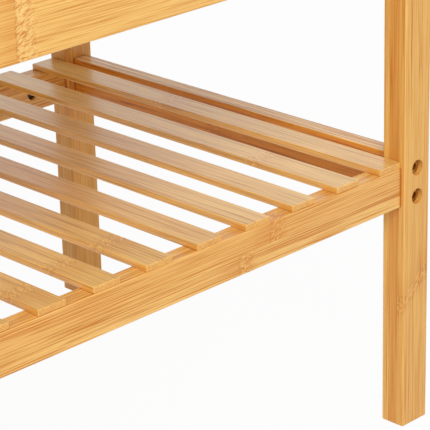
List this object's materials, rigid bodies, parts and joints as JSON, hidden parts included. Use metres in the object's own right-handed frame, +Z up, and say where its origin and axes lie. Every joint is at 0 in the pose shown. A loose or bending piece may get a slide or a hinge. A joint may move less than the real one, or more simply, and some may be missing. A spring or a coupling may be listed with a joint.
{
  "type": "entryway bench",
  "caption": "Open bamboo entryway bench with a slatted seat over wide aprons and a slatted shoe shelf between square legs, bolted together.",
  "frame": {"origin": "on the floor, under the middle of the bench", "axes": "+X along the bench to the right as seen from the front, -Y to the front, +Z up"},
  "size_m": [0.9032, 0.399, 0.45],
  "materials": {
    "bamboo_legs": "satin lacquer over laminated bamboo",
    "bamboo_rails": "satin lacquer over laminated bamboo",
    "bamboo_slats": "satin lacquer over bamboo",
    "bamboo_seat": "satin lacquer over laminated bamboo",
    "bolt_steel": "bronze plated",
    "nut_steel": "yellow zinc plated",
    "dowel_wood": "raw",
    "brad_steel": "bright wire",
    "screw_steel": "yellow zinc plated"
  },
  "bodies": {
    "root": {"leg_front_left": "bamboo_legs", "leg_front_right": "bamboo_legs", "leg_back_left": "bamboo_legs", "leg_back_right": "bamboo_legs", "shelf_rail_front": "bamboo_rails", "shelf_rail_back": "bamboo_rails", "shelf_end_rail_left": "bamboo_rails", "shelf_end_rail_right": "bamboo_rails", "apron_front": "bamboo_rails", "apron_back": "bamboo_rails", "end_apron_left": "bamboo_rails", "end_apron_right": "bamboo_rails", "seat_cleat_front": "bamboo_rails", "seat_cleat_back": "bamboo_rails", "shelf_slat_01": "bamboo_slats", "shelf_slat_02": "bamboo_slats", "shelf_slat_03": "bamboo_slats", "shelf_slat_04": "bamboo_slats", "shelf_slat_05": "bamboo_slats", "shelf_slat_06": "bamboo_slats", "shelf_slat_07": "bamboo_slats", "shelf_slat_08": "bamboo_slats", "shelf_slat_09": "bamboo_slats", "shelf_slat_10": "bamboo_slats", "shelf_slat_11": "bamboo_slats", "shelf_slat_12": "bamboo_slats", "shelf_slat_13": "bamboo_slats", "shelf_slat_14": "bamboo_slats", "shelf_slat_15": "bamboo_slats", "shelf_slat_16": "bamboo_slats", "shelf_slat_17": "bamboo_slats", "shelf_slat_18": "bamboo_slats", "shelf_slat_19": "bamboo_slats", "seat_board_01": "bamboo_seat", "seat_board_02": "bamboo_seat", "seat_board_03": "bamboo_seat", "seat_board_04": "bamboo_seat", "seat_board_05": "bamboo_seat", "seat_board_06": "bamboo_seat", "seat_board_07": "bamboo_seat", "seat_board_08": "bamboo_seat", "seat_board_09": "bamboo_seat", "seat_board_10": "bamboo_seat", "seat_board_11": "bamboo_seat", "seat_board_12": "bamboo_seat", "seat_board_13": "bamboo_seat", "front_bolts": "bolt_steel", "side_bolts": "bolt_steel", "barrel_nuts": "nut_steel", "thread_inserts": "nut_steel", "dowels": "dowel_wood", "slat_brads": "brad_steel", "seat_screws": "screw_steel", "cleat_screws": "screw_steel"}
  },
  "joints": []
}
